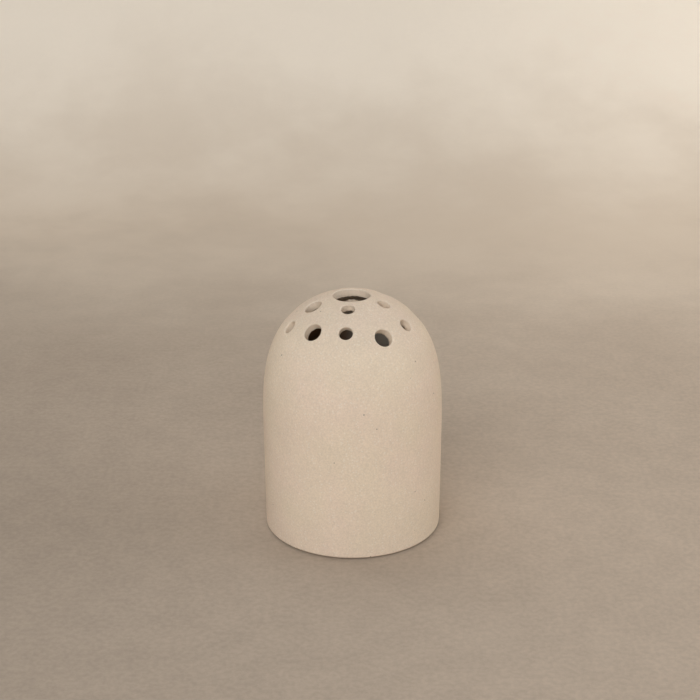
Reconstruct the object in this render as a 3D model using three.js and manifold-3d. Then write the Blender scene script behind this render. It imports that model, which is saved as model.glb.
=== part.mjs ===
// Flower frog: a tall domed stoneware pot with holes for stems, in millimetres, +Z up.
// The origin is the middle of the foot, on the surface that the pot stands on.
// The clay body is a wall, a dome and a base, and a glaze lines the inside below the holes.

import * as THREE from 'three';
import { mergeVertices } from 'three/addons/utils/BufferGeometryUtils.js';
import Module from 'manifold-3d';

// Driving dimensions
const BODY_RADIUS = 40;          // outer radius where the wall meets the dome
const FOOT_RADIUS = 39.6;        // outer radius at the foot
const FOOT_ROUNDING = 1;         // worn outer edge of the foot
const SPRING_HEIGHT = 48.7;      // height at which the wall turns into the dome
const DOME_RISE = 61.2;          // from there to the top of the unbroken dome
const DOME_POWER = 3.2;          // squareness of the dome's shoulder
const WALL_THICKNESS = 4;        // clay in the wall
const CROWN_THICKNESS = 3.4;     // clay at the top of the dome
const BASE_THICKNESS = 5;
const BASE_RECESS = 0.8;         // the base sits this far above the foot ring
const GLAZE_THICKNESS = 0.5;
const JOINT_GAP = 0.02;          // between bonded curved faces
const RIM_CHAMFER = 0.6;         // softened outer rim of each hole
const CUTTER_REACH = 12;         // how far a cutter runs into the pot
const CUTTER_RISE = 3;           // how far a cutter stands above the clay

const BODY_SEGMENTS = 60;
const FOOT_STEPS = 3;            // facets round the worn edge of the foot
const DOME_STEPS = 12;           // rings of facets from the spring line to the crown
const GLAZE_STEPS = 5;           // of which the glaze covers these, below the lowest holes
const HOLE_SEGMENTS = 20;
const TOP_HOLE_SEGMENTS = 36;

// Holes: azimuth in degrees from the front towards +X, distance of the hole's middle from the
// axis, and diameter. A lean turns a bore from the dome's normal towards the horizontal.
const TOP_HOLE = { azimuth: -90, distance: 0.4, diameter: 16.5, segments: TOP_HOLE_SEGMENTS };

const UPPER_RING = [
  { azimuth: -73, distance: 18, diameter: 8 },
  { azimuth: -8, distance: 13.8, diameter: 6 },
  { azimuth: 66, distance: 15, diameter: 6 },
  { azimuth: 132, distance: 18, diameter: 8 },
  { azimuth: -150, distance: 15, diameter: 6 },
];

const LOWER_RING = [
  { azimuth: -72, distance: 28.7, diameter: 6 },
  { azimuth: -40, distance: 26.7, diameter: 8 },
  { azimuth: -6.5, distance: 25.4, diameter: 6, lean: 8 },
  { azimuth: 28.5, distance: 27.8, diameter: 8 },
  { azimuth: 61, distance: 26.4, diameter: 6 },
  { azimuth: 107, distance: 29, diameter: 8 },
  { azimuth: 143, distance: 26.4, diameter: 6 },
  { azimuth: 180, distance: 27.4, diameter: 8 },
  { azimuth: -144, distance: 26.6, diameter: 6 },
  { azimuth: -107, distance: 28.2, diameter: 8 },
];

const wasm = await Module();
wasm.setup();

// Closed meshes and solids

const revolve = (points, segments) =>
  new THREE.LatheGeometry(points, segments).rotateX(Math.PI / 2);

function toSolid(geometry) {
  const bare = geometry.clone();
  bare.deleteAttribute('normal');
  bare.deleteAttribute('uv');
  const merged = mergeVertices(bare);
  return new wasm.Manifold(new wasm.Mesh({
    numProp: 3,
    vertProperties: new Float32Array(merged.getAttribute('position').array),
    triVerts: new Uint32Array(merged.getIndex().array),
  }));
}

function toGeometry(solid) {
  const { vertProperties, triVerts } = solid.getMesh();
  const geometry = new THREE.BufferGeometry();
  geometry.setAttribute('position', new THREE.BufferAttribute(vertProperties, 3));
  geometry.setIndex(new THREE.BufferAttribute(triVerts, 1));
  geometry.computeVertexNormals();
  return geometry;
}

// Profile of the body: x is the distance from the axis and y is the height

const point = (radius, height) => new THREE.Vector2(radius, height);

// A place on the outside of the dome, rise running from 0 at the wall to 1 at the crown
function domeOutside(rise) {
  const radius = BODY_RADIUS * Math.sqrt(1 - rise ** DOME_POWER);
  return {
    place: point(radius, SPRING_HEIGHT + DOME_RISE * rise),
    normal: point(
      2 * radius / BODY_RADIUS ** 2,
      DOME_POWER * rise ** (DOME_POWER - 1) / DOME_RISE,
    ).normalize(),
  };
}

function domeInside(rise, inset = 0) {
  const { place, normal } = domeOutside(rise);
  const thickness = WALL_THICKNESS + (CROWN_THICKNESS - WALL_THICKNESS) * rise ** 2;
  return place.clone().addScaledVector(normal, -thickness - inset);
}

// Rings are close together near the crown, where the dome turns fastest
function domeCurve(along, steps = DOME_STEPS) {
  return Array.from({ length: steps + 1 }, (_, i) => along(Math.sin((i / DOME_STEPS) * Math.PI / 2)));
}

// Wall, from the foot ring to the spring line

function wallGeometry() {
  const rounding = Array.from({ length: FOOT_STEPS + 1 }, (_, i) => {
    const angle = (i / FOOT_STEPS) * Math.PI / 2;
    return point(
      FOOT_RADIUS - FOOT_ROUNDING * (1 - Math.sin(angle)),
      FOOT_ROUNDING * (1 - Math.cos(angle)),
    );
  });
  const innerRadius = BODY_RADIUS - WALL_THICKNESS;
  return revolve([
    point(innerRadius, 0),
    ...rounding,
    point(BODY_RADIUS, SPRING_HEIGHT),
    point(innerRadius, SPRING_HEIGHT),
    point(innerRadius, 0),
  ], BODY_SEGMENTS);
}

// Dome with its stem holes

function holeCutter({ azimuth, distance, diameter, lean = 0, segments = HOLE_SEGMENTS }) {
  const rise = (1 - (distance / BODY_RADIUS) ** 2) ** (1 / DOME_POWER);
  const { place, normal } = domeOutside(rise);
  const radius = diameter / 2;
  const rimDrop = radius ** 2 / (2 * BODY_RADIUS);
  const chamferStart = -rimDrop - RIM_CHAMFER;
  const cutter = revolve([
    point(0, -CUTTER_REACH),
    point(radius, -CUTTER_REACH),
    point(radius, chamferStart),
    point(radius + CUTTER_RISE - chamferStart, CUTTER_RISE),
    point(0, CUTTER_RISE),
  ], segments);
  const tilt = Math.atan2(normal.x, normal.y) + THREE.MathUtils.degToRad(lean);
  const bearing = THREE.MathUtils.degToRad(azimuth);
  return toSolid(cutter
    .rotateX(tilt)
    .translate(0, -place.x, place.y)
    .rotateZ(bearing));
}

function domeGeometry() {
  const shell = toSolid(revolve([
    ...domeCurve((rise) => domeInside(rise)).reverse(),
    ...domeCurve((rise) => domeOutside(rise).place),
  ], BODY_SEGMENTS));
  const holes = [TOP_HOLE, ...UPPER_RING, ...LOWER_RING].map(holeCutter);
  return toGeometry(holes.reduce((clay, hole) => clay.subtract(hole), shell));
}

// Base, a disc luted inside the foot of the wall

function baseGeometry() {
  const radius = BODY_RADIUS - WALL_THICKNESS - JOINT_GAP;
  const top = BASE_RECESS + BASE_THICKNESS;
  return revolve([
    point(0, BASE_RECESS),
    point(radius, BASE_RECESS),
    point(radius, top),
    point(0, top),
  ], BODY_SEGMENTS);
}

// Glaze, a thin skin over the base and up the inside of the wall and dome

function glazeGeometry() {
  const floor = BASE_RECESS + BASE_THICKNESS + JOINT_GAP;
  const outerInset = JOINT_GAP;
  const innerInset = JOINT_GAP + GLAZE_THICKNESS;
  const wallRadius = BODY_RADIUS - WALL_THICKNESS;
  return revolve([
    point(0, floor),
    point(wallRadius - outerInset, floor),
    ...domeCurve((rise) => domeInside(rise, outerInset), GLAZE_STEPS),
    ...domeCurve((rise) => domeInside(rise, innerInset), GLAZE_STEPS).reverse(),
    point(wallRadius - innerInset, floor + GLAZE_THICKNESS),
    point(0, floor + GLAZE_THICKNESS),
  ], BODY_SEGMENTS);
}

// Materials

const clay = (color) => new THREE.MeshStandardMaterial({ color, roughness: 0.9, metalness: 0 });
const glaze = new THREE.MeshStandardMaterial({ color: 0x8a7f70, roughness: 0.15, metalness: 0 });

// Assembly

const frog = new THREE.Group();
const addPart = (name, geometry, material) => {
  const mesh = new THREE.Mesh(geometry, material);
  mesh.name = name;
  frog.add(mesh);
};

addPart('cylinder_wall', wallGeometry(), clay(0xc9b399));
addPart('pierced_dome', domeGeometry(), clay(0xcbb59b));
addPart('base_slab', baseGeometry(), clay(0xbfa98e));
addPart('liner_glaze', glazeGeometry(), glaze);

export default frog;
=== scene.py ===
"""Flower frog in sandy unglazed stoneware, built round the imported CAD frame. Metres, +Z up."""
import math

import bpy
import numpy as np
from mathutils import Matrix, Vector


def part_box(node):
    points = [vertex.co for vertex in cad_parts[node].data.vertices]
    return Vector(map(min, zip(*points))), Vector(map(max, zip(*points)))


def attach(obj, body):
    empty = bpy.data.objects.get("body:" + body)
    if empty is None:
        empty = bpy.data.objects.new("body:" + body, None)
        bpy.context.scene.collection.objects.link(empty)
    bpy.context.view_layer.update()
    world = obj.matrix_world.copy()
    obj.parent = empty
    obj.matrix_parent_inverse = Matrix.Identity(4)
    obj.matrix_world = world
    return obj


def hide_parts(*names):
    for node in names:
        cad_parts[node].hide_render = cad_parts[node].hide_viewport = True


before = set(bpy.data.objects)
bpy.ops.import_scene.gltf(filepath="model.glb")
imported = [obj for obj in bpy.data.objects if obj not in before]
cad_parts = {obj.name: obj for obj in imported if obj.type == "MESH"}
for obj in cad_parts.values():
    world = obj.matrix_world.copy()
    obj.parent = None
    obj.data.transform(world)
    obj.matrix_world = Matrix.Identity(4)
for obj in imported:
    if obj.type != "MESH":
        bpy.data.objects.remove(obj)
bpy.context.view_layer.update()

MM = 0.001

# ---------------------------------------------------------------- sizes that the frame gives

wall_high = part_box("cylinder_wall")[1]
base_low, base_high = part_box("base_slab")
glaze_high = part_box("liner_glaze")[1]

BODY_RADIUS = wall_high[0]
SPRING_HEIGHT = wall_high[2]
INNER_RADIUS = glaze_high[0]
BASE_RADIUS = base_high[0]
BASE_UNDERSIDE = base_low[2]
BASE_TOP = base_high[2]
GLAZE_LINE = glaze_high[2]

# ---------------------------------------------------------------- sizes of the clay

FOOT_RADIUS = 39.6 * MM
BEVEL_DEPTH = 1.2 * MM
BEVEL_HEIGHT = 1.0 * MM
BEVEL_ROUNDING = 0.25 * MM
DOME_RISE = 61.2 * MM
DOME_POWER = 3.2
WALL_THICKNESS = BODY_RADIUS - INNER_RADIUS
CROWN_THICKNESS = 3.4 * MM
RIM_ROUNDING = 0.4 * MM
INNER_ROUNDING = 0.15 * MM
BURR = 0.7 * MM
BURR_WIDTH = 0.7 * MM
BORE_REACH = 12 * MM
CURVE_START = -5 * MM            # the profile's curves run on below the foot
JOINT_GAP = 0.02 * MM            # between the base and the glaze
LUTE = 0.5 * MM                  # fillet of clay in the joint under the base
RING_SPACING = 0.9 * math.tau * MM
RING_DEPTH = 0.04 * MM           # of the rings turned under the base
GLAZE_THICKNESS = 0.5 * MM
GLAZE_FILLET = 3 * MM
GLAZE_WAVE = 0.9 * MM
GLAZE_LIP = 0.2 * MM             # how far the glaze's edge stands above its two faces
INNER_DROP = 1.4 * MM            # from the outside down to the inside, at the glaze line
FOOT_CLEARANCE = 0.05 * MM       # the floor lies this far below the foot

# Holes: azimuth in degrees from the front towards +X, distance of the hole's middle from the
# axis, diameter, and how far the bore leans from the dome's normal towards the horizontal.
TOP_MOUTH = [(-90, 0.4, 16.5, 0)]
UPPER_RING = [(-73, 18, 8, 0), (-8, 13.8, 6, 0), (66, 15, 6, 0), (132, 18, 8, 0), (-150, 15, 6, 0)]
LOWER_RING = [
    (-72, 28.7, 6, 0),
    (-40, 26.7, 8, 0),
    (-6.5, 25.4, 6, 8),
    (28.5, 27.8, 8, 0),
    (61, 26.4, 6, 0),
    (107, 29, 8, 0),
    (143, 26.4, 6, 0),
    (180, 27.4, 8, 0),
    (-144, 26.6, 6, 0),
    (-107, 28.2, 8, 0),
]

# Mesh spacing
AROUND = 360                     # steps of the clay's grid round the pot
THROUGH_STEPS = 13               # steps of the grid through the shell
GRID_LOW = -0.8 * MM             # the grid starts below the foot
GRID_INNERMOST = 7 * MM          # and ends inside the top mouth, this far from the axis
OUTSIDE_MARGIN = 0.4 * MM        # how far the grid reaches past the clay on either side
INSIDE_MARGIN = 0.9 * MM
ROUND_SEGMENTS = 240             # steps round the base and the glaze

# ---------------------------------------------------------------- the profile of the pot


def dome_outside(rise):
    """Places (radius, height) and normals on the dome, rise from 0 at the wall to 1 at the crown."""
    rise = np.asarray(rise, float)
    radius = BODY_RADIUS * np.sqrt(np.maximum(0, 1 - rise ** DOME_POWER))
    place = np.stack([radius, SPRING_HEIGHT + DOME_RISE * rise], -1)
    slope = DOME_POWER * rise ** (DOME_POWER - 1) / DOME_RISE
    normal = np.stack([2 * radius / BODY_RADIUS ** 2, slope], -1)
    return place, normal / np.linalg.norm(normal, axis=-1, keepdims=True)


def dome_inside(rise, inset=0.0):
    """The inner face of the dome, set in by the clay's thickness and the inset."""
    place, normal = dome_outside(rise)
    thickness = WALL_THICKNESS + (CROWN_THICKNESS - WALL_THICKNESS) * np.asarray(rise) ** 2
    return place - normal * (thickness + inset)[..., None]


def rise_steps(count, highest=1.0):
    """Even turns up the dome, which bring the places closer together near the crown."""
    return np.sin(np.linspace(0, math.asin(highest), count))


def outer_curve():
    """The outside of the pot from under the foot to the crown."""
    slope = (BODY_RADIUS - FOOT_RADIUS) / SPRING_HEIGHT
    heights = np.linspace(CURVE_START, SPRING_HEIGHT, 60)
    wall = np.stack([FOOT_RADIUS + slope * heights, heights], -1)
    return np.concatenate([wall[:-1], dome_outside(rise_steps(300))[0]])


def inner_curve():
    """The inside of the clay from under the foot to the crown."""
    return np.concatenate([[[INNER_RADIUS, CURVE_START]], dome_inside(rise_steps(300))])


def distance_to_curve(points, curve):
    """Signed distance of (radius, height) points from a curve, positive on its outer side."""
    nearest = np.full(len(points), np.inf)
    signed = np.zeros(len(points))
    for start, end in zip(curve[:-1], curve[1:]):
        along = end - start
        offset = points - start
        share = np.clip(offset @ along / (along @ along), 0, 1)
        gap = offset - share[:, None] * along
        squared = (gap ** 2).sum(1)
        closer = squared < nearest
        side = along[1] * offset[closer, 0] - along[0] * offset[closer, 1]
        nearest[closer] = squared[closer]
        signed[closer] = np.sign(side) * np.sqrt(squared[closer])
    return signed


class ProfileField:
    """A curve's signed distance, kept on a fine grid of radius and height."""

    STEP = 0.25 * MM
    LOW = np.array([0.0, -2 * MM])
    SHAPE = (174, 456)

    def __init__(self, curve):
        radii, heights = np.meshgrid(*(np.arange(n) * self.STEP for n in self.SHAPE), indexing="ij")
        points = np.stack([radii.ravel(), heights.ravel()], -1) + self.LOW
        self.values = distance_to_curve(points, curve).reshape(self.SHAPE)

    def __call__(self, radius, height):
        u = np.clip((radius - self.LOW[0]) / self.STEP, 0, self.SHAPE[0] - 1.001)
        v = np.clip((height - self.LOW[1]) / self.STEP, 0, self.SHAPE[1] - 1.001)
        i, j = u.astype(int), v.astype(int)
        u, v = u - i, v - j
        near = self.values[i, j] * (1 - v) + self.values[i, j + 1] * v
        far = self.values[i + 1, j] * (1 - v) + self.values[i + 1, j + 1] * v
        return near * (1 - u) + far * u


outside_distance = ProfileField(outer_curve())
cavity_distance = ProfileField(inner_curve())

# ---------------------------------------------------------------- the clay as a field


def bore_frames():
    """Each hole as (middle, direction out of the pot, radius)."""
    frames = []
    for azimuth, distance, diameter, lean in TOP_MOUTH + UPPER_RING + LOWER_RING:
        rise = (1 - (distance * MM / BODY_RADIUS) ** 2) ** (1 / DOME_POWER)
        place, normal = dome_outside(rise)
        tilt = math.atan2(normal[0], normal[1]) + math.radians(lean)
        bearing = math.radians(azimuth)
        outward = np.array([math.sin(bearing), -math.cos(bearing), 0])
        up = np.array([0, 0, 1])
        middle = outward * place[0] + up * place[1]
        direction = outward * math.sin(tilt) + up * math.cos(tilt)
        frames.append((middle, direction, diameter * MM / 2))
    return frames


BORES = bore_frames()


def hand_wobble(points):
    """The slight unevenness of a surface finished by hand, with the foot a little towards +X."""
    azimuth = np.arctan2(points[:, 0], -points[:, 1])
    height = points[:, 2] / BODY_RADIUS
    return MM * (
        0.07 * np.sin(2 * azimuth + 0.9 + 1.1 * height)
        - 0.22 * np.sin(azimuth) * np.maximum(0, 1 - height)
        + 0.05 * np.sin(3 * azimuth - 2.3 * height + 2.0)
        + 0.03 * np.sin(5 * azimuth + 4.1 * height)
    )


def round_cut(a, b, radius):
    """The field of what two fields share, with the edge between them rounded."""
    corner = np.hypot(np.maximum(a + radius, 0), np.maximum(b + radius, 0))
    return np.minimum(np.maximum(a, b), -radius) + corner


def bore_distance(points, bore):
    """How far points lie inside a bore: negative in the clay round it."""
    middle, direction, radius = bore
    offset = points - middle
    along = offset @ direction
    across = np.linalg.norm(offset - along[:, None] * direction, axis=1)
    return np.minimum(radius - across, along + BORE_REACH)


def burr(points, bore_gap):
    """The ragged lip that a cutter pushes out round a hole on the inside, least near X = 0."""
    x, y, z = (points / MM).T
    ragged = 0.6 - 0.4 * np.cos(0.28 * x) + 0.2 * np.sin(2.7 * y - 1.9 * z + 3.3 * x)
    return BURR * ragged * np.exp(-(np.minimum(bore_gap, 0) / BURR_WIDTH) ** 2)


def foot_bevel(radius, height):
    """Signed distance from the slanted cut that trims the outer edge of the foot."""
    inward = radius - (FOOT_RADIUS - BEVEL_DEPTH)
    return (BEVEL_HEIGHT * inward - BEVEL_DEPTH * height) / math.hypot(BEVEL_DEPTH, BEVEL_HEIGHT)


def clay_field(points):
    """Signed distance from the surface of the clay, negative inside it."""
    radius = np.hypot(points[:, 0], points[:, 1])
    height = points[:, 2]
    clay = outside_distance(radius, height) + hand_wobble(points)
    clay = round_cut(clay, foot_bevel(radius, height), BEVEL_ROUNDING)
    clay = round_cut(clay, -height, BEVEL_ROUNDING)
    nearest = np.full(len(points), -1.0)
    for bore in BORES:
        gap = bore_distance(points, bore)
        clay = round_cut(clay, gap, RIM_ROUNDING)
        nearest = np.maximum(nearest, gap)
    cavity = -cavity_distance(radius, height) - burr(points, nearest)
    return round_cut(clay, cavity, INNER_ROUNDING)


# ---------------------------------------------------------------- meshing the clay


def stations():
    """Places and normals up the outer profile, close together at the foot and among the holes."""
    curve = outer_curve()
    start = np.searchsorted(curve[:, 1], GRID_LOW)
    stop = np.searchsorted(-curve[:, 0], -GRID_INNERMOST)
    curve = curve[start - 1:stop + 1]
    lengths = np.concatenate([[0], np.cumsum(np.linalg.norm(np.diff(curve, axis=0), axis=1))])
    fine = np.linspace(0, lengths[-1], 4000)
    place = np.stack([np.interp(fine, lengths, curve[:, c]) for c in (0, 1)], -1)
    heights = [0, 1.5, 6, 82, 88]
    spacings = [0.3, 0.3, 3.0, 3.0, 0.48]
    wanted = np.interp(place[:, 1] / MM, heights, spacings) * MM
    count = np.concatenate([[0], np.cumsum(np.diff(fine) / wanted[1:])])
    at = np.interp(np.linspace(0, count[-1], int(count[-1]) + 1), count, fine)
    place = np.stack([np.interp(at, lengths, curve[:, c]) for c in (0, 1)], -1)
    tangent = np.gradient(place, axis=0)
    normal = np.stack([tangent[:, 1], -tangent[:, 0]], -1)
    return place, normal / np.linalg.norm(normal, axis=1, keepdims=True)


def shell_grid():
    """Points on a grid that follows the shell: round it, up it and through it."""
    place, normal = stations()
    depth = np.linspace(-OUTSIDE_MARGIN, WALL_THICKNESS + INSIDE_MARGIN, THROUGH_STEPS)
    profile = place[:, None] - normal[:, None] * depth[None, :, None]
    azimuth = np.arange(AROUND) * math.tau / AROUND
    x = np.sin(azimuth)[:, None, None] * profile[None, ..., 0]
    y = -np.cos(azimuth)[:, None, None] * profile[None, ..., 0]
    z = np.broadcast_to(profile[None, ..., 1], x.shape)
    return np.stack([x, y, z], -1)


def surface_net(values, points):
    """Vertices and quads of the zero level of a grid whose first index wraps round."""
    rows, columns = values.shape[1] - 1, values.shape[2] - 1

    def corner(array, i, j, k):
        return np.roll(array, -i, axis=0)[:, j:j + rows, k:k + columns]

    total = np.zeros((values.shape[0], rows, columns, 3))
    crossings = np.zeros(total.shape[:3], int)
    corners = [(i, j, k) for i in (0, 1) for j in (0, 1) for k in (0, 1)]
    for a in corners:
        for b in corners:
            if sum(b) != sum(a) + 1 or any(q < p for p, q in zip(a, b)):
                continue
            low, high = corner(values, *a), corner(values, *b)
            crossed = (low < 0) != (high < 0)
            share = (low[crossed] / (low[crossed] - high[crossed]))[:, None]
            start, end = corner(points, *a)[crossed], corner(points, *b)[crossed]
            total[crossed] += start + share * (end - start)
            crossings[crossed] += 1

    used = crossings > 0
    index = np.full(used.shape, -1)
    index[used] = np.arange(used.sum())
    vertices = total[used] / crossings[used][:, None]

    before = np.roll(index, 1, axis=0)
    inside = values < 0
    quads = []

    def add(near, far, ring):
        """Quads across the grid's edges from near to far, facing the open side."""
        for chosen, order in ((near & ~far, (0, 1, 2, 3)), (far & ~near, (3, 2, 1, 0))):
            quads.append(np.stack([ring[n][chosen] for n in order], -1))

    middle = slice(1, -1)
    add(
        inside[:, middle, middle],
        np.roll(inside, -1, axis=0)[:, middle, middle],
        [index[:, :-1, :-1], index[:, :-1, 1:], index[:, 1:, 1:], index[:, 1:, :-1]],
    )
    add(
        inside[:, :-1, middle],
        inside[:, 1:, middle],
        [before[:, :, :-1], index[:, :, :-1], index[:, :, 1:], before[:, :, 1:]],
    )
    add(
        inside[:, middle, :-1],
        inside[:, middle, 1:],
        [before[:, :-1], before[:, 1:], index[:, 1:], index[:, :-1]],
    )
    return vertices, np.concatenate(quads)


def settle(points, rounds=4):
    """Moves points straight onto the surface of the clay."""
    step = 0.03 * MM
    for _ in range(rounds):
        gradient = np.stack(
            [
                (clay_field(points + step * axis) - clay_field(points - step * axis)) / (2 * step)
                for axis in np.eye(3)
            ],
            -1,
        )
        squared = (gradient ** 2).sum(1)
        points = points - (clay_field(points) / np.maximum(squared, 0.1))[:, None] * gradient
    return points


# ---------------------------------------------------------------- objects


def make_object(name, vertices, faces, material):
    mesh = bpy.data.meshes.new(name)
    mesh.from_pydata(np.asarray(vertices).tolist(), [], [list(map(int, f)) for f in faces])
    mesh.polygons.foreach_set("use_smooth", [True] * len(mesh.polygons))
    mesh.materials.append(material)
    mesh.update()
    made = bpy.data.objects.new(name, mesh)
    bpy.context.scene.collection.objects.link(made)
    return made


def add_attribute(made, name, values):
    made.data.attributes.new(name, "FLOAT", "POINT").data.foreach_set("value", values)


def revolve(name, profile, material, lift=None):
    """A closed solid of revolution whose profile starts and ends on the axis.

    lift(azimuth, profile) may return a profile changed for one azimuth."""
    ring = profile[1:-1]
    vertices = [(0, 0, profile[0][1])]
    for i in range(ROUND_SEGMENTS):
        azimuth = i * math.tau / ROUND_SEGMENTS
        turned = ring if lift is None else lift(azimuth, ring)
        vertices += [(r * math.sin(azimuth), -r * math.cos(azimuth), z) for r, z in turned]
    vertices.append((0, 0, profile[-1][1]))

    size, last = len(ring), len(vertices) - 1
    faces = []
    for i in range(ROUND_SEGMENTS):
        here = 1 + i * size
        there = 1 + (i + 1) % ROUND_SEGMENTS * size
        faces.append((0, there, here))
        faces += [(here + j, there + j, there + j + 1, here + j + 1) for j in range(size - 1)]
        faces.append((here + size - 1, there + size - 1, last))
    return make_object(name, vertices, faces, material)


def arc(middle, radius, start, end, count=7):
    """Places on an arc in the profile, with angles in degrees from the radial direction."""
    return [
        (middle[0] + radius * math.cos(a), middle[1] + radius * math.sin(a))
        for a in np.radians(np.linspace(start, end, count))
    ]


# ---------------------------------------------------------------- material nodes


class Nodes:
    """Short forms for the node types that the materials use."""

    def __init__(self, name):
        self.material = bpy.data.materials.new(name)
        self.material.use_nodes = True
        self.tree = self.material.node_tree
        self.shader = self.tree.nodes["Principled BSDF"]
        self.place = self.tree.nodes.new("ShaderNodeTexCoord").outputs["Object"]

    def make(self, kind, inputs, **settings):
        made = self.tree.nodes.new(kind)
        for key, value in settings.items():
            setattr(made, key, value)
        for key, value in inputs.items():
            if isinstance(value, bpy.types.NodeSocket):
                self.tree.links.new(value, made.inputs[key])
            else:
                made.inputs[key].default_value = value
        return made

    def noise(self, size, detail=2.0, roughness=0.5):
        """Noise with features of a size in metres."""
        inputs = {"Vector": self.place, "Scale": 1 / size, "Detail": detail, "Roughness": roughness}
        return self.make("ShaderNodeTexNoise", inputs).outputs["Fac"]

    def cells(self, size):
        inputs = {"Vector": self.place, "Scale": 1 / size}
        return self.make("ShaderNodeTexVoronoi", inputs)

    def span(self, value, low, high, to_low=0.0, to_high=1.0):
        inputs = {
            "Value": value,
            "From Min": low,
            "From Max": high,
            "To Min": to_low,
            "To Max": to_high,
        }
        return self.make("ShaderNodeMapRange", inputs, interpolation_type="SMOOTHSTEP").outputs["Result"]

    def math(self, operation, a, b):
        return self.make("ShaderNodeMath", {0: a, 1: b}, operation=operation).outputs["Value"]

    def mix(self, factor, a, b):
        inputs = {"Factor": factor, "A": a, "B": b}
        made = self.tree.nodes.new("ShaderNodeMix")
        made.data_type = "RGBA"
        sockets = {s.identifier: s for s in made.inputs}
        for key, value in inputs.items():
            socket = sockets["Factor_Float" if key == "Factor" else f"{key}_Color"]
            if isinstance(value, bpy.types.NodeSocket):
                self.tree.links.new(value, socket)
            else:
                socket.default_value = value
        return next(s for s in made.outputs if s.identifier == "Result_Color")

    def scaled(self, color, factor):
        """A colour times a number from a socket."""
        combined = self.make("ShaderNodeCombineXYZ", {0: factor, 1: factor, 2: factor}).outputs[0]
        made = self.make("ShaderNodeVectorMath", {0: color, 1: combined}, operation="MULTIPLY")
        return made.outputs["Vector"]

    def attribute(self, name):
        return self.make("ShaderNodeAttribute", {}, attribute_name=name).outputs["Fac"]

    def bump(self, height, distance, strength=1.0, normal=None):
        inputs = {"Height": height, "Distance": distance, "Strength": strength}
        if normal is not None:
            inputs["Normal"] = normal
        return self.make("ShaderNodeBump", inputs).outputs["Normal"]

    def finish(self, **inputs):
        for key, value in inputs.items():
            socket = self.shader.inputs[key.replace("_", " ")]
            if isinstance(value, bpy.types.NodeSocket):
                self.tree.links.new(value, socket)
            else:
                socket.default_value = value
        return self.material


def linear(red, green, blue):
    """A colour given by its 8-bit display values."""
    def channel(value):
        share = value / 255
        return share / 12.92 if share <= 0.04045 else ((share + 0.055) / 1.055) ** 2.4
    return (channel(red), channel(green), channel(blue), 1.0)


CLAY = linear(234, 215, 192)
CLAY_PINK = linear(235, 214, 193)
CLAY_YELLOW = linear(233, 215, 191)
# Paler tone of cut clay, which also paints light onto the bores and the inside of the pot.
CUT_CLAY_AND_PAINTED_LIGHT = linear(241, 223, 201)
# Pale grains in the clay, and the colour of the painted highlight along the rims.
PALE_GRAIN_AND_RIM_HIGHLIGHT = linear(248, 240, 228)
IRON = linear(104, 84, 66)
# Painted light and shade of the liner glaze: pale on its +X side, dark brown on its -X side.
GLAZE_PAINTED_LIGHT = linear(236, 228, 215)
GLAZE_PAINTED_SHADE = linear(136, 104, 76)
# Floor and wall tones from near the pot to high up the wall: painted light, darker near and brighter
# far.
FLOOR_NEAR = linear(187, 171, 154)
FLOOR_MIDDLE = linear(217, 202, 184)
FLOOR_FAR = linear(247, 236, 220)


def stoneware():
    """Sandy unglazed clay: drifts of tone, pale grains, rare iron specks, painted shade low down, at the
    crown and on the foot's bevel, painted light on cut faces and a painted highlight along the rims.
    """
    n = Nodes("stoneware")
    tone = n.mix(n.span(n.noise(26 * MM), 0.35, 0.65), CLAY_PINK, CLAY_YELLOW)
    tone = n.mix(n.span(n.noise(5 * MM), 0.3, 0.7, 0.0, 0.5), tone, CLAY)

    drift = n.span(n.noise(9 * MM, 3.0), 0.3, 0.7, 0.985, 1.015)
    sand = n.span(n.noise(0.8 * MM, 4.0, 0.65), 0.3, 0.7, 0.935, 1.065)
    color = n.scaled(tone, n.math("MULTIPLY", drift, sand))

    grains = n.cells(1.2 * MM)
    chosen = n.span(grains.outputs["Color"], 0.35, 0.65)
    pale = n.math("MULTIPLY", n.span(grains.outputs["Distance"], 0.12, 0.42, 0.42, 0.0), chosen)
    color = n.mix(pale, color, PALE_GRAIN_AND_RIM_HIGHLIGHT)

    specks = n.cells(5.5 * MM)
    rare = n.span(specks.outputs["Color"], 0.70, 0.72)
    dark = n.math("MULTIPLY", n.span(specks.outputs["Distance"], 0.04, 0.085, 0.6, 0.0), rare)
    color = n.mix(dark, color, IRON)

    height = n.make("ShaderNodeSeparateXYZ", {0: n.place}).outputs["Z"]
    # Painted shade: the clay is darker low on the wall and at the crown.
    painted_shade_low = n.span(height, 0.0, 35 * MM, 0.955, 1.0)
    painted_shade_crown = n.span(height, 92 * MM, 104 * MM, 1.0, 0.94)
    # Painted shade: the foot's bevel is much darker, standing in for the contact shadow under the pot.
    painted_shade_foot = n.span(height, 0.5 * MM, 1.3 * MM, 0.55, 1.0)
    color = n.scaled(color, n.math("MULTIPLY", n.math("MULTIPLY", painted_shade_low, painted_shade_crown), painted_shade_foot))

    depth = n.attribute("depth")
    # Cut faces in the bores and inside the pot are paler: partly the cut clay's own tone, partly painted
    # light.
    color = n.mix(n.span(depth, 0.15, 0.4, 0.0, 0.8), color, CUT_CLAY_AND_PAINTED_LIGHT)
    # Painted highlight: a pale tint along the rims of the holes and the bottom edge of the foot.
    color = n.mix(n.math("MULTIPLY", n.attribute("edge"), 0.15), color, PALE_GRAIN_AND_RIM_HIGHLIGHT)

    coarse = n.bump(n.noise(2.2 * MM, 3.0), 0.10 * MM)
    fine = n.bump(n.noise(0.45 * MM, 3.0, 0.65), 0.09 * MM, normal=coarse)
    return n.finish(
        Base_Color=color,
        Roughness=n.span(n.noise(1.1 * MM), 0.3, 0.7, 0.86, 0.97),
        Specular_IOR_Level=0.25,
        Normal=fine,
    )


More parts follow.
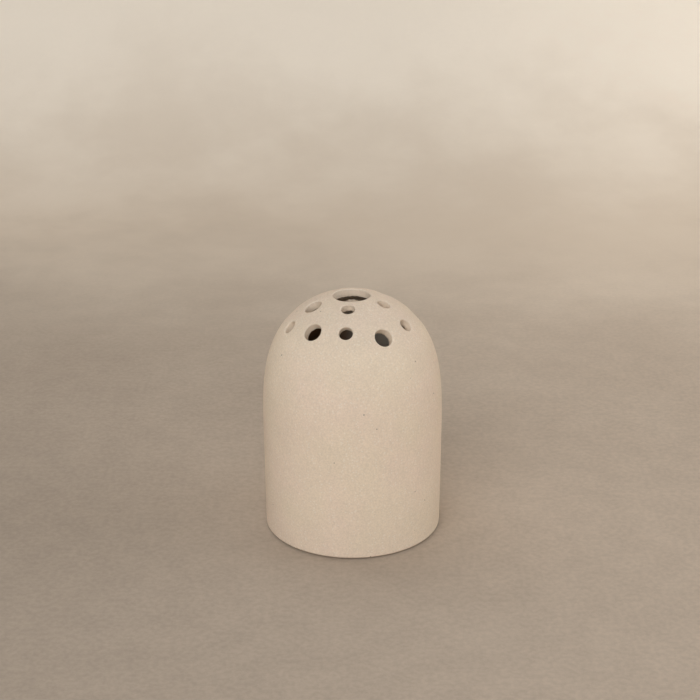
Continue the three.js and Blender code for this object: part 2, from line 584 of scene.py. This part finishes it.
def base_clay():
    """The turned and wiped underside of the base."""
    n = Nodes("base_clay")
    tone = n.mix(n.span(n.noise(12 * MM), 0.35, 0.65), CLAY, CUT_CLAY_AND_PAINTED_LIGHT)
    sand = n.span(n.noise(0.6 * MM, 4.0, 0.7), 0.3, 0.7, 0.92, 1.08)
    specks = n.cells(4 * MM)
    dark = n.math(
        "MULTIPLY",
        n.span(specks.outputs["Distance"], 0.05, 0.1, 0.8, 0.0),
        n.span(specks.outputs["Color"], 0.55, 0.58),
    )
    color = n.mix(dark, n.scaled(tone, sand), IRON)
    return n.finish(
        Base_Color=color,
        Roughness=n.span(n.noise(2 * MM), 0.3, 0.7, 0.75, 0.9),
        Specular_IOR_Level=0.25,
        Normal=n.bump(n.noise(0.5 * MM, 3.0), 0.05 * MM),
    )


def liner_glaze():
    """A smooth greyish liner glaze, painted pale on its +X side and dark brown on its -X side as painted
    light and shade.
    """
    n = Nodes("liner_glaze")
    # Painted light and shade: the glaze drifts from dark brown at -X to pale at +X across the inside.
    side = n.make("ShaderNodeSeparateXYZ", {0: n.place}).outputs["X"]
    drift = n.math("ADD", side, n.span(n.noise(14 * MM, 3.0), 0.3, 0.7, -4 * MM, 4 * MM))
    tone = n.mix(n.span(drift, -12 * MM, 14 * MM), GLAZE_PAINTED_SHADE, GLAZE_PAINTED_LIGHT)
    pits = n.cells(2.5 * MM)
    dark = n.span(pits.outputs["Distance"], 0.05, 0.12, 0.5, 0.0)
    return n.finish(
        Base_Color=n.mix(dark, tone, IRON),
        Roughness=n.span(n.noise(4 * MM), 0.3, 0.7, 0.14, 0.24),
        Normal=n.bump(n.noise(3 * MM), 0.08 * MM),
    )


def plaster():
    """The pale floor: trowelled plaster with soft cloudy drifts, and painted light that is darker near
    the pot and towards -X, brighter up the wall and towards +X.
    """
    n = Nodes("plaster")
    back = n.make("ShaderNodeSeparateXYZ", {0: n.place}).outputs
    cloud = n.span(n.noise(140 * MM, 4.0, 0.6), 0.3, 0.7, -0.06, 0.06)
    away = n.math("ADD", n.math("ADD", back["Y"], back["Z"]), cloud)
    # Painted light: the floor is darker near the pot and grows brighter up the wall.
    tone = n.mix(n.span(away, 0.10, 0.45), FLOOR_NEAR, FLOOR_MIDDLE)
    tone = n.mix(n.span(away, 0.42, 0.84), tone, FLOOR_FAR)
    # Painted light: darker towards -X and brighter towards +X, with one spread near the pot and another
    # up the wall.
    near_light = n.span(back["X"], -0.25, 0.25, 0.83, 1.13)
    far_light = n.span(back["X"], 0.0, 0.3, 1.0, 1.17)
    far = n.span(away, 0.3, 0.55)
    change = n.math("SUBTRACT", far_light, near_light)
    across = n.math("ADD", near_light, n.math("MULTIPLY", far, change))
    mottle = n.span(n.noise(16 * MM, 4.0, 0.6), 0.3, 0.7, -0.035, 0.035)
    grain = n.span(n.noise(2.6 * MM, 4.0, 0.65), 0.3, 0.7, -0.065, 0.065)
    sharpness = n.span(back["Y"], 0.1, 0.45, 1.0, 0.08)
    brushed = n.math("MULTIPLY", n.math("ADD", mottle, grain), sharpness)
    brushed = n.math("MULTIPLY", n.math("ADD", brushed, 1.0), across)
    return n.finish(
        Base_Color=n.scaled(tone, brushed),
        Roughness=n.span(n.noise(60 * MM), 0.3, 0.7, 0.7, 0.85),
        Specular_IOR_Level=0.3,
        Normal=n.bump(n.noise(6 * MM, 5.0, 0.6), 0.15 * MM),
    )


# ---------------------------------------------------------------- pieces


def make_body():
    """Wall and dome in one skin of clay, with every hole cut through, its rims rounded, and masks for
    the painted light on cut faces and the painted highlight along the rims.
    """
    points = shell_grid()
    shape = points.shape[:3]
    values = clay_field(points.reshape(-1, 3)).reshape(shape)
    vertices, quads = surface_net(values, points)
    vertices = settle(vertices)
    body = make_object("stoneware_body", vertices, quads, stoneware())

    depth = -outside_distance(np.hypot(vertices[:, 0], vertices[:, 1]), vertices[:, 2])
    add_attribute(body, "depth", depth / WALL_THICKNESS)
    # Mask for the painted highlight: strongest on the outside at the hole rims and the foot's bottom
    # edge.
    rim = np.min([np.abs(bore_distance(vertices, bore)) for bore in BORES], axis=0)
    rim = np.minimum(rim, vertices[:, 2])
    rim_highlight = np.exp(-(rim / RIM_ROUNDING) ** 2) * np.exp(-(depth / RIM_ROUNDING) ** 2)
    add_attribute(body, "edge", rim_highlight)
    return body


def make_base():
    """The disc that closes the pot, with turned rings and a smoothed joint to the wall."""
    turned = [
        (r, BASE_UNDERSIDE + RING_DEPTH * math.cos(math.tau * r / RING_SPACING))
        for r in np.linspace(0, BASE_RADIUS - 2 * LUTE, 120)
    ]
    profile = (
        turned
        + arc((BASE_RADIUS - LUTE, BASE_UNDERSIDE - LUTE), LUTE, 90, 0, 5)
        + [(BASE_RADIUS, BASE_TOP), (0, BASE_TOP)]
    )
    return revolve("base_disc", profile, base_clay())


def make_glaze():
    """The liner: pooled in the corner, thin up the wall, with a wavy line where it stops."""
    back = INNER_RADIUS
    face = back - GLAZE_THICKNESS
    floor = BASE_TOP + JOINT_GAP
    top = floor + GLAZE_THICKNESS
    highest = (GLAZE_LINE - SPRING_HEIGHT + INNER_DROP) / DOME_RISE
    steps = rise_steps(28, highest)
    outer = dome_inside(steps)
    inner = dome_inside(steps, GLAZE_THICKNESS)
    lip = [tuple((outer[-1] + inner[-1]) / 2 + np.array([0.0, GLAZE_LIP]))]
    profile = (
        [(0, floor), (back, floor)]
        + [(back, z) for z in np.linspace(floor + 2 * MM, SPRING_HEIGHT - 2 * MM, 20)]
        + [tuple(p) for p in outer]
        + lip
        + [tuple(p) for p in inner[::-1]]
        + [(face, z) for z in np.linspace(SPRING_HEIGHT - 2 * MM, top + GLAZE_FILLET + MM, 20)]
        + arc((face - GLAZE_FILLET, top + GLAZE_FILLET), GLAZE_FILLET, 0, -90)
        + [(r, top) for r in np.linspace(face - GLAZE_FILLET - MM, 0, 8)]
    )

    def wave(azimuth, ring):
        swing = math.sin(3 * azimuth + 0.4) + 0.6 * math.sin(7 * azimuth + 1.9)
        share = [max(0, (z - SPRING_HEIGHT) / (GLAZE_LINE - SPRING_HEIGHT)) ** 6 for _, z in ring]
        return [
            (r - 0.35 * GLAZE_WAVE * swing * s, z + GLAZE_WAVE * swing * s)
            for (r, z), s in zip(ring, share)
        ]

    return revolve("glaze_liner", profile, liner_glaze(), lift=wave)


def make_stage():
    """A floor that sweeps up into a wall behind the pot."""
    half_width, front, sweep_start, sweep, height = 4.0, -5.0, 0.45, 0.35, 1.1
    profile = [(y, -FOOT_CLEARANCE) for y in np.linspace(front, sweep_start, 8)]
    profile += [
        (sweep_start + sweep * math.sin(a), sweep * (1 - math.cos(a)) - FOOT_CLEARANCE)
        for a in np.radians(np.linspace(0, 90, 33)[1:])
    ]
    profile.append((sweep_start + sweep, height))
    vertices = [(side * half_width, y, z) for side in (-1, 1) for y, z in profile]
    count = len(profile)
    faces = [(j, count + j, count + j + 1, j + 1) for j in range(count - 1)]
    floor = make_object("plaster_floor", vertices, faces, plaster())


def make_light(name, azimuth, elevation, distance, size, power):
    """A soft lamp that faces the pot and stays out of the picture.

    The azimuth runs from the front towards +X, and the size is (width, height)."""
    data = bpy.data.lights.new(name, "AREA")
    data.shape = "RECTANGLE"
    data.size, data.size_y = size
    data.energy = power
    made = bpy.data.objects.new(name, data)
    bpy.context.scene.collection.objects.link(made)
    made.visible_camera = False
    turn = Matrix.Rotation(math.radians(azimuth), 4, "Z")
    tilt = Matrix.Rotation(math.radians(90 - elevation), 4, "X")
    back = Matrix.Translation((0, 0, distance))
    made.matrix_world = Matrix.Translation((0, 0, 0.06)) @ turn @ tilt @ back


def make_lights():
    make_light("key", -18, 43, 1.6, (1.1, 0.6), 8.1)
    make_light("front_wall", 0, 14, 3.4, (2.5, 1.25), 36)
    make_light("left_wall", -52, 13, 2.2, (2.0, 0.8), 4.6)
    make_light("right_window", 95, 22, 2.2, (1.8, 1.0), 16.3)
    make_light("back_window", -140, 30, 2.2, (1.6, 0.8), 18.2)
    make_light("skylight", -150, 65, 1.8, (1.6, 1.2), 8.1)


def make_world():
    """A dim room for the light, and a pale wall for the camera past the edge of the floor."""
    world = bpy.data.worlds.new("studio")
    bpy.context.scene.world = world
    world.use_nodes = True
    tree = world.node_tree
    room = tree.nodes["Background"]
    room.inputs["Color"].default_value = (0.97, 1.0, 1.03, 1.0)
    room.inputs["Strength"].default_value = 0.05
    wall = tree.nodes.new("ShaderNodeBackground")
    wall.inputs["Color"].default_value = linear(196, 182, 165)
    seen = tree.nodes.new("ShaderNodeLightPath").outputs["Is Camera Ray"]
    mixed = tree.nodes.new("ShaderNodeMixShader")
    tree.links.new(seen, mixed.inputs[0])
    tree.links.new(room.outputs[0], mixed.inputs[1])
    tree.links.new(wall.outputs[0], mixed.inputs[2])
    tree.links.new(mixed.outputs[0], tree.nodes["World Output"].inputs["Surface"])


def make_camera():
    data = bpy.data.cameras.new("camera")
    data.lens = 82.55
    data.sensor_width = 36
    data.clip_start = 0.01
    camera = bpy.data.objects.new("camera", data)
    bpy.context.scene.collection.objects.link(camera)
    down = math.radians(21.6)
    place = (-1.1 * MM, -659.8 * MM, 344.45 * MM)
    camera.matrix_world = Matrix.Translation(place) @ Matrix.Rotation(math.pi / 2 - down, 4, "X")
    bpy.context.scene.camera = camera


body = make_body()
base = make_base()
glaze = make_glaze()

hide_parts("cylinder_wall", "pierced_dome")
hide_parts("base_slab")
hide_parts("liner_glaze")
for piece in (body, base, glaze):
    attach(piece, "root")

make_stage()
make_lights()
make_world()
make_camera()
bpy.context.scene.view_settings.view_transform = "Standard"
